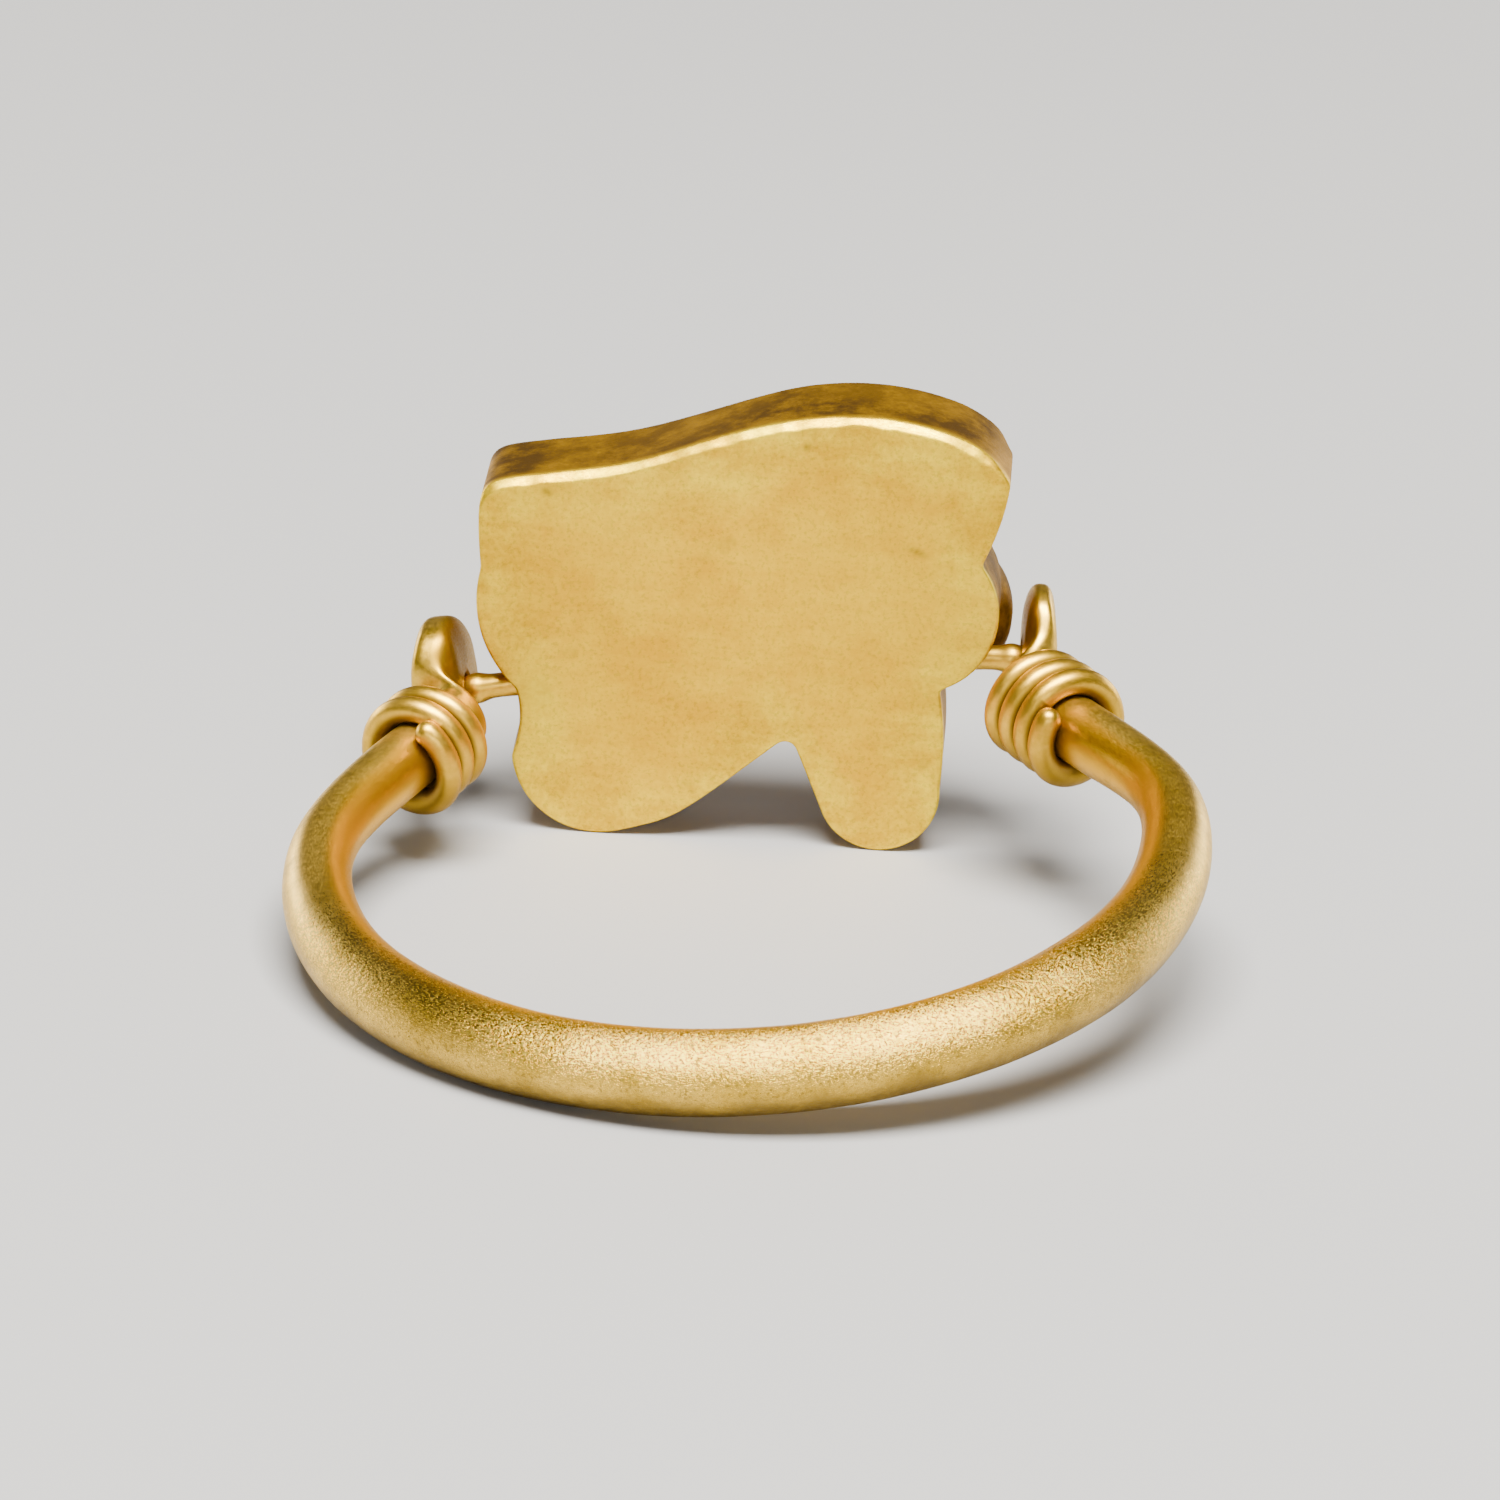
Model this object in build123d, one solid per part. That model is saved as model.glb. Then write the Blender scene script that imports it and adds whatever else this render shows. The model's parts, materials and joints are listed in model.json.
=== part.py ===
"""Gold swivel ring: a heavy round hoop whose two pierced ends carry a wire, and a thick plate in the
outline of a traditional eye amulet that turns on the wire.

The hoop and the wire are drawn in the hoop's own frame: X across the finger opening, Y from the foot of
the hoop to the bezel, Z along the finger. The bezel is drawn in its own frame, X along its width, Y from
its flat back to its raised face, Z up, and is bored in the hoop's frame. At the end the whole ring is set
down on Z = 0 as it rests by itself, on the side of its hoop and on the two lower tips of the bezel, and
centred on the origin.
"""
from build123d import *
from collections import namedtuple
from math import asin, atan2, cos, hypot, pi, radians, sin, sqrt, tan
import os

# Hoop: a rod of round section, thickest at the foot
hoop_radius = 11.0          # of the rod's centre line
rod_radius = 1.08           # over the foot of the hoop
shoulder_radius = 0.84      # where the rod leaves its circle
neck_radius = 0.81          # under the coils
shoulder_deg = 102          # from the foot of the hoop to where the rod leaves its circle
neck_length = 3.2

# Ends of the hoop: they were bent by hand and are not quite alike.
# neck_inset and neck_drop: from the middle of the eye inwards and down to the top of the straight neck;
# neck_deg: lean of the neck, from the X axis; coil_start: from the neck's foot to the first turn of the
# wire; coil_turns; eye_gap: from the bezel's half width to the middle of the eye; eye_thickness;
# eye_fullness: of its cross-section, where 2 is an ellipse and more is squarer; eye_twist_deg and
# eye_lean_deg: of the eye about Z and about Y
End = namedtuple("End", (
    "neck_inset neck_drop neck_deg coil_start coil_turns "
    "eye_gap eye_thickness eye_fullness eye_twist_deg eye_lean_deg"))
right_end = End(0.46, 2.23, 121, 0.48, 3.5, 0.80, 0.86, 2.2, 0, 6)
left_end = End(0.44, 1.78, 121, 0.50, 2.6, 0.80, 0.96, 3.2, 10, 6)

# Eyes: flattened, pierced tips of the hoop
eye_radius = 1.9
pivot_setback = 0.75        # of the eyes' holes inside the hoop's circle
ring_points = 12            # round one cross-section of the rod

# Pivot wire
wire_radius = 0.32
wire_play = 0.06            # between the wire and the holes that it runs in
turn_gap = 0.09             # between two turns of a coil
neck_gap = 0.09             # between a coil and the neck inside it
coil_end_deg = 50           # where the wire's cut end lies, from the neck's inner side
corners_per_turn = 8
coil_bend_share = 0.45      # of a straight run of the wire that is bent at either end, in the coil
lead_bend_share = 0.30      # and from the coil through the eye to the bezel
wire_clearance = 0.26       # between the wire and the outer flank of an eye
wire_dip = 0.40             # how far the wire sinks on its way out through an eye

# Bezel
bezel_width = 14.3
bezel_offset = 0.3          # of the middle of its width from the middle of the bore
brow_height = 7.24          # from the bore up to the top of the brow
spiral_drop = 4.03          # from the bore down to the lowest point of the spiral
leg_drop = 4.76             # from the bore down to the tip of the leg
plate_thickness = 2.65
bore_depth = 1.20           # from the flat back to the middle of the bore
back_bevel = 0.16
bezel_turn_deg = -3.5       # of the plate about the hoop's Z axis, on the straight wire

# Raised face of the bezel
relief_height = 0.75
brow_band = 1.25
lid_band = 0.55
pupil_radius = 1.45
mark_band = 1.15
curl_band = 0.95
swell_width = 1.25          # half sizes of the swelling at the eye's inner corner
swell_depth = 1.15
swell_height = 1.75


def across(share):
    """X of a point of the bezel, as a share of its half width."""
    return bezel_offset + share * bezel_width / 2


def above(share):
    return share * brow_height


def in_spiral(share):
    return -share * spiral_drop


def in_leg(share):
    return -share * leg_drop


def bezel_outline():
    """Edges of the bezel's outline in turn, seen from its flat back, and the two arcs that it stands on."""
    apex_right = (across(0.160), in_leg(0.375))
    leg_inner = (across(0.240), in_leg(0.740))
    leg_outer = (across(0.688), in_leg(0.640))
    leg_notch = (across(0.705), in_leg(0.062))
    brow_notch = (across(0.880), above(0.430))
    brow_inner_end = (across(1.000), above(0.735))
    brow_outer_end = (across(-0.925), above(0.795))
    side_notch = (across(-0.974), above(0.478))
    spiral_notch = (across(-0.870), above(0.012))
    spiral_side = (across(-0.902), in_spiral(0.440))
    spiral_low = (across(-0.490), in_spiral(0.985))
    apex_left = (across(0.085), in_spiral(0.424))

    tip_arc = ThreePointArc(leg_inner, (across(0.438), in_leg(1.0)), leg_outer)
    spiral_arc = ThreePointArc(spiral_low, (across(-0.772), in_spiral(0.890)), spiral_side)
    edges = [
        Line(apex_right, leg_inner),
        tip_arc,
        ThreePointArc(leg_outer, (across(0.712), in_leg(0.320)), leg_notch),
        ThreePointArc(leg_notch, (across(0.925), above(0.170)), brow_notch),
        ThreePointArc(brow_notch, (across(0.958), above(0.590)), brow_inner_end),
        Spline(
            brow_inner_end, (across(0.940), above(0.823)), (across(0.765), above(0.930)),
            (across(0.438), above(1.0)), (across(0.132), above(0.981)), (across(-0.163), above(0.913)),
            (across(-0.400), above(0.853)), (across(-0.665), above(0.825)), brow_outer_end),
        ThreePointArc(brow_outer_end, (across(-0.960), above(0.680)), side_notch),
        ThreePointArc(side_notch, (across(-0.998), above(0.290)), spiral_notch),
        ThreePointArc(spiral_notch, (across(-0.862), in_spiral(0.140)), spiral_side),
        spiral_arc,
        Spline(spiral_low, (across(-0.360), in_spiral(0.930)), (across(-0.145), in_spiral(0.715)), apex_left),
        ThreePointArc(apex_left, (across(0.130), in_spiral(0.400)), apex_right),
    ]
    return edges, (spiral_arc, tip_arc)


def raised_face():
    """Sketches of the raised forms, seen from the flat back: brow, lids, cheek mark, curl and pupil."""
    brow = Spline(
        (across(-1.030), above(0.735)), (across(-0.400), above(0.745)), (across(0.132), above(0.870)),
        (across(0.438), above(0.915)), (across(0.740), above(0.840)), (across(0.890), above(0.730)))
    upper_lid = Spline(
        (across(-0.860), above(0.300)), (across(-0.450), above(0.400)), (across(0.100), above(0.600)),
        (across(0.450), above(0.560)), (across(0.850), above(0.230)))
    lower_lid = Spline(
        (across(-0.420), above(0.300)), (across(-0.100), above(0.140)), (across(0.250), above(0.080)),
        (across(0.600), above(0.110)), (across(0.850), above(0.230)))
    cheek_mark = Line((across(0.480), above(0.080)), (across(0.450), in_leg(0.780)))
    curl = Spline(
        (across(0.150), above(0.060)), (across(-0.150), in_spiral(0.400)), (across(-0.480), in_spiral(0.780)),
        (across(-0.760), in_spiral(0.600)), (across(-0.700), in_spiral(0.150)),
        (across(-0.480), in_spiral(0.200)))
    bands = [
        trace(brow, brow_band), trace(upper_lid, lid_band), trace(lower_lid, lid_band),
        trace(cheek_mark, mark_band), trace(curl, curl_band),
    ]
    pupil = Pos(across(0.170), above(0.345)) * Circle(pupil_radius)
    return bands + [pupil]


def make_bezel(edges):
    """Plate with its bevelled brow edge and the raised face, in the bezel's own frame."""
    face_depth = plate_thickness - bore_depth
    outline = make_face(edges)
    plate = extrude(Plane.XZ.offset(bore_depth) * outline, amount=-plate_thickness)
    face_room = extrude(Plane.XZ.offset(-face_depth) * outline, amount=-relief_height)
    brow_edge = plate.faces().sort_by(Axis.Y)[0].edges().sort_by(Axis.Z)[-1]
    plate = chamfer(brow_edge, back_bevel)
    for form in raised_face():
        plate += face_room & extrude(Plane.XZ.offset(-face_depth) * form, amount=relief_height, dir=(0, 1, 0))
    swelling = scale(Sphere(1), by=(swell_width, swell_depth, swell_height))
    return plate + Pos(across(0.800), face_depth, above(0.145)) * swelling


def on_circle(turn, radius):
    """Point at a turn from the foot of the hoop, about its centre."""
    return Vector(radius * sin(radians(turn)), -radius * cos(radians(turn)), 0)


def heading(turn):
    return Vector(cos(radians(turn)), sin(radians(turn)), 0)


def neck_ends(end):
    top = eye_middle(end) - Vector(end.neck_inset, end.neck_drop, 0)
    return top - heading(end.neck_deg) * neck_length, top


def rod_sections(end):
    """The rod from the foot of the hoop to the tip of the right eye, as closed curves across it.

    Each is a centre, the way that the rod runs, the side of the hoop's outside, the half widths towards
    that side and across it, and the curve's fullness: 2 is an ellipse, more is squarer.
    """
    # share of the way round to the shoulder, and share of the way from full to shoulder thickness
    round_the_hoop = [(0, 0), (0.16, 0), (0.32, 0), (0.48, 0), (0.65, 0.25), (0.82, 0.60), (1, 1)]
    # place along the eye in eye radii, and shares of its half thickness, radius and fullness
    along_the_eye = [
        (-0.62, 1, 0.66, 0.4), (-0.30, 1, 0.95, 1), (0.05, 1, 1, 1), (0.40, 0.98, 0.92, 1),
        (0.70, 0.90, 0.72, 1), (0.90, 0.68, 0.46, 0.6), (0.99, 0.36, 0.20, 0)]
    sections = []
    for way, thinning in round_the_hoop:
        turn = way * shoulder_deg
        radius = rod_radius + thinning * (shoulder_radius - rod_radius)
        sections.append((on_circle(turn, hoop_radius), heading(turn), heading(turn - 90), radius, radius, 2))
    foot, top = neck_ends(end)
    along, outward = heading(end.neck_deg), heading(end.neck_deg - 90)
    shoulder = on_circle(shoulder_deg, hoop_radius)
    into_neck = Spline(shoulder, foot, tangents=(heading(shoulder_deg), along))
    for way in (1 / 3, 2 / 3):
        radius = shoulder_radius + way * (neck_radius - shoulder_radius)
        place, course = into_neck @ way, into_neck % way
        sections.append((place, course, course.cross(Vector(0, 0, 1)), radius, radius, 2))
    for way in (0, 0.35, 0.7, 1):
        sections.append((foot + (top - foot) * way, along, outward, neck_radius, neck_radius, 2))
    eye_side = in_eye(end, 1, 0, 0) - in_eye(end, 0, 0, 0)
    eye_along = in_eye(end, 0, 1, 0) - in_eye(end, 0, 0, 0)
    for place, thickness, width, squareness in along_the_eye:
        centre = in_eye(end, 0, place * eye_radius, 0)
        half_thickness = thickness * end.eye_thickness / 2
        fullness = 2 + squareness * (end.eye_fullness - 2)
        sections.append((centre, eye_along, eye_side, half_thickness, width * eye_radius, fullness))
    return sections


def eye_middle(end):
    return Vector(bezel_width / 2 + end.eye_gap, pivot_reach, 0)


def in_eye(end, x, y, z):
    """Point given in the frame of the right eye, whose hole runs along X."""
    return (Pos(eye_middle(end)) * Rot(0, end.eye_lean_deg, end.eye_twist_deg) * Pos(x, y, z)).position


def eye_passage(end):
    """Points where the wire turns on the inner and on the outer side of the right eye."""
    flank = end.eye_thickness / 2 + wire_radius
    return eye_middle(end) - Vector(flank, 0, 0), in_eye(end, flank + wire_clearance, 0, -wire_dip)


def make_drill(end):
    inside, outside = eye_passage(end)
    along_hole = Plane(origin=(inside + outside) / 2, z_dir=outside - inside)
    return along_hole * Cylinder(wire_radius + wire_play, 2 * eye_radius)


def mirrored(v):
    """The same place or direction on the left side of the hoop."""
    return Vector(-v.X, v.Y, v.Z)


def rod_ring(half_width, half_depth, fullness):
    """Closed curve |x / half_width| ** fullness + |y / half_depth| ** fullness = 1, through even points."""
    points = []
    for step in range(ring_points):
        x, y = cos(2 * pi * step / ring_points), sin(2 * pi * step / ring_points)
        reach = (abs(x) ** fullness + abs(y) ** fullness) ** (-1 / fullness)
        points.append((half_width * reach * x, half_depth * reach * y))
    return make_face(Edge.make_spline(points, periodic=True, parameters=list(range(ring_points + 1))))


def make_hoop():
    """One rod, lofted from the tip of the left eye round to that of the right eye, and drilled twice."""
    left = [(mirrored(p), -mirrored(h), mirrored(o), a, b, n)
            for p, h, o, a, b, n in rod_sections(left_end)[:0:-1]]
    rod = left + rod_sections(right_end)
    rings = [Plane(origin=p, x_dir=h.cross(o), z_dir=h) * rod_ring(b, a, n) for p, h, o, a, b, n in rod]
    return loft(rings) - make_drill(right_end) - mirror(make_drill(left_end), Plane.YZ)


def coil_points(end):
    """Corners of the right coil, from the wire's cut end to the turn beside the eye."""
    coil_radius = neck_radius + neck_gap + wire_radius
    pitch = 2 * wire_radius + turn_gap
    along = heading(end.neck_deg)
    inward = heading(end.neck_deg + 90)
    corner_radius = coil_radius / sqrt(cos(pi / corners_per_turn))
    points = []
    for step in range(round(end.coil_turns * corners_per_turn) + 1):
        turned = radians(coil_end_deg) - 2 * pi * step / corners_per_turn
        centre = neck_ends(end)[0] + along * (end.coil_start + pitch * step / corners_per_turn)
        points.append(centre + inward * corner_radius * cos(turned) + Vector(0, 0, corner_radius * sin(turned)))
    return points


def wire_side(end):
    """Corners of the wire on the right, from its cut end to the bezel, each with its bend share."""
    flank = end.eye_thickness / 2 + wire_radius
    coil = [(point, coil_bend_share) for point in coil_points(end)]
    inside, outside = eye_passage(end)
    beside_rim = in_eye(end, flank + wire_clearance, -eye_radius / 2, -wire_dip)
    return coil + [(point, lead_bend_share) for point in (beside_rim, outside, inside)]


def make_wire():
    """One wire: coil, eye, bore, eye, coil, as straight runs joined by tangent arcs."""
    left = [(mirrored(p), share) for p, share in wire_side(left_end)]
    corners = left + wire_side(right_end)[::-1]
    bends = []
    for (before, _), (here, share), (after, _) in zip(corners, corners[1:], corners[2:]):
        run = min((here - before).length, (after - here).length)
        half_turn = radians((here - before).get_angle(after - here)) / 2
        bends.append(share * run / tan(half_turn))
    path = FilletPolyline(*[point for point, _ in corners], radius=bends)
    return sweep(Plane(origin=path @ 0, z_dir=path % 0) * Circle(wire_radius), path)


def standing_tilt(arcs):
    """Tilt of the bezel, in radians, and height of its middle, when it stands on two arcs."""
    spiral, tip = arcs
    reach = tip.arc_center - spiral.arc_center
    slope = atan2(reach.Y, reach.X) - asin((tip.radius - spiral.radius) / hypot(reach.X, reach.Y))
    height = spiral.radius - (spiral.arc_center.Y * cos(slope) - spiral.arc_center.X * sin(slope))
    return -slope, height


def floor_normal(tilt, height):
    """Up direction in the hoop's frame when the hoop's rod and the bezel's two tips touch the floor.

    The bezel rises by the tilt along its own direction u. With n = (nx, ny, nz), n . u is sin(tilt), and
    the hoop's lowest point, a rod radius and hoop_radius * hypot(nx, ny) below its centre, is level with
    the tips, which lie a height below the middle of the bore. That makes a quadratic in ny.
    """
    u = heading(bezel_turn_deg)
    lift = height - rod_radius
    a = pivot_reach ** 2 - hoop_radius ** 2 * (1 + (u.Y / u.X) ** 2)
    b = 2 * hoop_radius ** 2 * sin(tilt) * u.Y / u.X ** 2 - 2 * lift * pivot_reach
    c = lift ** 2 - (hoop_radius * sin(tilt) / u.X) ** 2
    ny = 2 * c / (sqrt(b * b - 4 * a * c) - b)
    nx = (sin(tilt) - ny * u.Y) / u.X
    return Vector(nx, ny, sqrt(1 - nx ** 2 - ny ** 2))


pivot_reach = hoop_radius - pivot_setback
edges, standing_arcs = bezel_outline()
tilt, bore_height = standing_tilt(standing_arcs)
up = floor_normal(tilt, bore_height)
bezel_side = heading(bezel_turn_deg)
bore_middle = Vector(0, pivot_reach, 0)
bezel_up = (up - bezel_side * up.dot(bezel_side)).normalized()

hoop = make_hoop()
pivot_wire = make_wire()
bore = Pos(bore_middle) * Rot(0, 90, 0) * Cylinder(wire_radius + wire_play, 2 * bezel_width)
bezel = Plane(origin=bore_middle, x_dir=bezel_side, z_dir=bezel_up).location * make_bezel(edges) - bore

floor_x = (Vector(1, 0, 0) - up * up.X).normalized()
floor_origin = bore_middle - up * bore_height
to_floor = Plane(origin=floor_origin, x_dir=floor_x, z_dir=up).location.inverse()
standing = {"hoop": to_floor * hoop, "pivot_wire": to_floor * pivot_wire, "bezel": to_floor * bezel}
middle = Compound(list(standing.values())).bounding_box().center()

os.makedirs("parts", exist_ok=True)
for node, solid in standing.items():
    export_step(Pos(-middle.X, -middle.Y, 0) * solid, f"parts/{node}.step")
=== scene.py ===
"""Gold swivel ring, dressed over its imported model.

Shapes are worked out in millimetres, in the frame of the hoop (X across the finger opening, Y from the foot
of the hoop to the bezel, Z along the finger) or of the bezel (X along its width, Y from its flat back to
its raised face, Z up), and put into the model's frame in metres at the end.
"""
import json
from collections import namedtuple

import bpy
import numpy as np
from mathutils import Euler, Matrix, Vector


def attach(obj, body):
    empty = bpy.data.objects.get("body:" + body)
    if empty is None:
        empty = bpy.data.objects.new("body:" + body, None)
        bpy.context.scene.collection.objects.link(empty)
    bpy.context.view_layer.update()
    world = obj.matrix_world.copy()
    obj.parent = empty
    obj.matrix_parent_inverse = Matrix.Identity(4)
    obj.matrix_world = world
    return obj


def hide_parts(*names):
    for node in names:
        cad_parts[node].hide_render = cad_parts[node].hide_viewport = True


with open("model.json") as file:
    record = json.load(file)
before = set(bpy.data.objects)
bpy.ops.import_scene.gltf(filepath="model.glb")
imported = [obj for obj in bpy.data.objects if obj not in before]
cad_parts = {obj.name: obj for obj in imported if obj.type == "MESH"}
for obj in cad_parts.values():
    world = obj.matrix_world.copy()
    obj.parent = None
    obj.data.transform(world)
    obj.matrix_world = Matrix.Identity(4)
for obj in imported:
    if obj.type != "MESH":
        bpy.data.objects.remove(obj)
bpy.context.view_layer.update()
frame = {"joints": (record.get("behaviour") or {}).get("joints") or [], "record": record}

# How the ring rests: its swivel joint gives the middle of the bore and the direction across the finger
# opening, its mount the direction that the bezel's flat back faces, and the tilts are measured in the solids
BORE_MIDDLE = np.array(frame["joints"][0]["pos_m"]) * 1000
HOOP_X = np.array(frame["joints"][0]["axis"])
BACK_NORMAL = np.array(frame["record"]["mounts"][0]["axis"])
HOOP_TILT_DEG = 8.018
BEZEL_TILT_DEG = 5.482

# Hoop: its rod, necks and eyes; the necks and the left eye are a little thicker than in the solids
HOOP_RADIUS = 11.0
ROD_RADIUS = 1.08
SHOULDER_RADIUS = 0.84
NECK_RADIUS = 0.86
SHOULDER_DEG = 102
NECK_LENGTH = 3.2
EYE_RADIUS = 1.9
PIVOT_REACH = 10.25
# Reach along the hole of an eye's hole and of the darkening near it, painted shade on the left eye's inner
# face included, and how far the hole is under the middle of the eye
NEAR_EYE = 0.9
HOLE_DROP = 0.1
# Stretch at each end of the rod where its rows are closer together, and the points round a row
FINE_WAY = 6.0
HOOP_COLUMNS = 120
# One end of the hoop. Its neck starts at foot_deg round the circle, foot_inset inside it, and runs towards
# neck_deg. The coil starts coil_start up the neck, after a tail, and sags by slack in its first turn. The eye
# stands at eye_side, turned by its twist and its lean; its section is squarer with more fullness, and tip is
# the length of its tip over that of a round one. The last field, from 0 to 1, deepens the tarnish and painted
# shade at that end: on the neck by the coil and on the coil's wire, and the painted shade on the eye's inner
# face.
End = namedtuple("End", (
    "foot_deg foot_inset neck_deg coil_start coil_turns coil_pitch tail_deg slack "
    "eye_side eye_thickness eye_fullness eye_twist_deg eye_lean_deg tip tarnish"))
RIGHT_END = End(
    foot_deg=120, foot_inset=0.45, neck_deg=121,
    coil_start=0.48, coil_turns=3.5, coil_pitch=0.70, tail_deg=0, slack=0.04,
    eye_side=7.95, eye_thickness=0.86, eye_fullness=2.9, eye_twist_deg=0, eye_lean_deg=6,
    tip=1.0, tarnish=0.0)
LEFT_END = End(
    foot_deg=122, foot_inset=0.20, neck_deg=121,
    coil_start=0.60, coil_turns=2.6, coil_pitch=0.67, tail_deg=18, slack=0.10,
    eye_side=7.90, eye_thickness=1.18, eye_fullness=3.6, eye_twist_deg=9, eye_lean_deg=6,
    tip=1.13, tarnish=0.60)
# Both ends are worked out on the right, and the left one is mirrored
MIRROR = np.array([-1, 1, 1])
ENDS = ((RIGHT_END, np.ones(3)), (LEFT_END, MIRROR))

# Pivot wire
WIRE_RADIUS = 0.33
COIL_WIRE_RADIUS = 0.345
COIL_RADIUS = 1.215
COIL_END_DEG = 50
WIRE_CLEARANCE = 0.26
WIRE_DIP = 0.40
COLLAR_HEIGHT = 0.09
WIRE_COLUMNS = 32

# Bezel
BEZEL_WIDTH = 14.3
BEZEL_OFFSET = 0.3
BROW_HEIGHT = 7.32
SPIRAL_DROP = 4.03
LEG_DROP = 4.76
PLATE_THICKNESS = 2.85
BORE_DEPTH = 1.20
RELIEF_HEIGHT = 0.55
PUPIL_RADIUS = 1.55
BACK = -BORE_DEPTH
FACE = PLATE_THICKNESS - BORE_DEPTH
FRONT_ROUND = 0.16
BEZEL_COLUMNS = 560
ON_BACK, ON_SIDE, ON_FACE = 0, 1, 2


def unit(v):
    """The same directions with length 1."""
    return v / np.linalg.norm(v, axis=-1, keepdims=True)


def smooth_step(low, high, x):
    """0 below low, 1 above high, and 3t2 - 2t3 in between."""
    t = np.clip((x - low) / (high - low), 0, 1)
    return t * t * (3 - 2 * t)


def spline_through(knots, values, at):
    """Natural cubic spline: a cubic between each two knots, whose slope and curvature run on at the knots."""
    gap = np.diff(knots)
    inner = np.arange(1, len(knots) - 1)
    system = np.eye(len(knots))
    system[inner, inner - 1] = gap[:-1]
    system[inner, inner] = 2 * (gap[:-1] + gap[1:])
    system[inner, inner + 1] = gap[1:]
    pull = np.zeros_like(values)
    slope = np.diff(values, axis=0) / gap[:, None]
    pull[1:-1] = 6 * np.diff(slope, axis=0)
    bend = np.linalg.solve(system, pull)
    k = np.clip(np.searchsorted(knots, at) - 1, 0, len(knots) - 2)
    h = gap[k][:, None]
    a = (knots[k + 1] - at)[:, None] / h
    b = 1 - a
    return a * values[k] + b * values[k + 1] + ((a**3 - a) * bend[k] + (b**3 - b) * bend[k + 1]) * h**2 / 6


def lengths_along(points):
    """Distance of each point from the first, along the line through them."""
    return np.concatenate([[0], np.cumsum(np.linalg.norm(np.diff(points, axis=0), axis=1))])


def soft_noise(points, size, seed):
    """Random numbers from -1 to 1 on a lattice of the given size, blended by smooth steps in between."""
    lattice = np.random.default_rng(seed).uniform(-1, 1, (32, 32, 32))
    q = points / size
    base = np.floor(q).astype(int)
    f = q - base
    f = f * f * (3 - 2 * f)
    total = 0
    for corner in np.ndindex(2, 2, 2):
        weight = np.prod(np.where(np.array(corner), f, 1 - f), axis=-1)
        i = (base + corner) % 32
        total = total + weight * lattice[i[..., 0], i[..., 1], i[..., 2]]
    return total


def hoop_directions():
    """Directions of the hoop in the model's frame: across the opening, from foot to bezel, and up."""
    tilt = np.radians(HOOP_TILT_DEG)
    level = unit(np.cross((0, 0, 1), HOOP_X))
    ahead = level * np.cos(tilt) + np.cross(HOOP_X, level) * np.sin(tilt)
    return np.stack([HOOP_X, ahead, np.cross(HOOP_X, ahead)])


def from_hoop(points):
    """Points of the hoop's frame, in the model's frame in metres."""
    directions = hoop_directions()
    return (BORE_MIDDLE + (points - (0, PIVOT_REACH, 0)) @ directions) / 1000


def bezel_directions():
    """Directions of the bezel in the model's frame: along its width, from its back to its face, and up."""
    tilt = np.radians(BEZEL_TILT_DEG)
    side = np.cross((0, 0, 1), BACK_NORMAL) * np.cos(tilt) + np.array([0, 0, np.sin(tilt)])
    return np.stack([side, -BACK_NORMAL, np.cross(side, -BACK_NORMAL)])


def from_bezel(points):
    """Points of the bezel's frame, in the model's frame in metres: the bezel stands upright."""
    return (BORE_MIDDLE + points @ bezel_directions()) / 1000


def closed_surface(name, rows, uv, masks):
    """Mesh of rows of points, each row a closed loop; the middle of the first and of the last row close it.

    uv holds one more column than rows, so that the pattern meets itself at the seam. masks are numbers at
    the points, by name.
    """
    count, around = rows.shape[:2]
    last = count * around
    points = np.concatenate([rows.reshape(-1, 3), [rows[0].mean(0), rows[-1].mean(0)]])
    j = np.arange(around)
    k = (j + 1) % around
    i = np.arange(count - 1)[:, None] * around
    quads = np.stack([i + j, i + k, i + around + k, i + around + j], -1).reshape(-1, 4)
    quad_uv = np.stack([uv[:-1, :-1], uv[:-1, 1:], uv[1:, 1:], uv[1:, :-1]], 2).reshape(-1, 4, 2)
    first_fan = np.stack([np.full(around, last), k, j], -1)
    last_fan = np.stack([np.full(around, last + 1), last - around + j, last - around + k], -1)
    first_uv = np.stack([np.broadcast_to(uv[0].mean(0), (around, 2)), uv[0, 1:], uv[0, :-1]], 1)
    last_uv = np.stack([np.broadcast_to(uv[-1].mean(0), (around, 2)), uv[-1, :-1], uv[-1, 1:]], 1)
    fans = np.concatenate([first_fan, last_fan])
    fan_uv = np.concatenate([first_uv, last_uv])
    a, b, c, d = (points[quads[:, n]] for n in range(4))
    if np.sum(np.cross(b - a, c - a) * a) + np.sum(np.cross(c - a, d - a) * a) < 0:
        quads, quad_uv, fans, fan_uv = quads[:, ::-1], quad_uv[:, ::-1], fans[:, ::-1], fan_uv[:, ::-1]
    corners = np.concatenate([quads.ravel(), fans.ravel()])
    starts = np.concatenate([np.arange(len(quads)) * 4, len(quads) * 4 + np.arange(len(fans)) * 3])
    mesh = bpy.data.meshes.new(name)
    mesh.vertices.add(len(points))
    mesh.vertices.foreach_set("co", points.ravel())
    mesh.loops.add(len(corners))
    mesh.loops.foreach_set("vertex_index", corners)
    mesh.polygons.add(len(starts))
    mesh.polygons.foreach_set("loop_start", starts)
    mesh.polygons.foreach_set("use_smooth", np.ones(len(starts), bool))
    mesh.update(calc_edges=True)
    layer = mesh.uv_layers.new(name="surface")
    layer.uv.foreach_set("vector", np.concatenate([quad_uv.reshape(-1, 2), fan_uv.reshape(-1, 2)]).ravel())
    for mask, values in masks.items():
        attribute = mesh.attributes.new(mask, "FLOAT", "POINT")
        with_middles = np.concatenate([values.ravel(), [values[0].mean(), values[-1].mean()]])
        attribute.data.foreach_set("value", with_middles)
    piece = bpy.data.objects.new(name, mesh)
    bpy.context.collection.objects.link(piece)
    return piece


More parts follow.
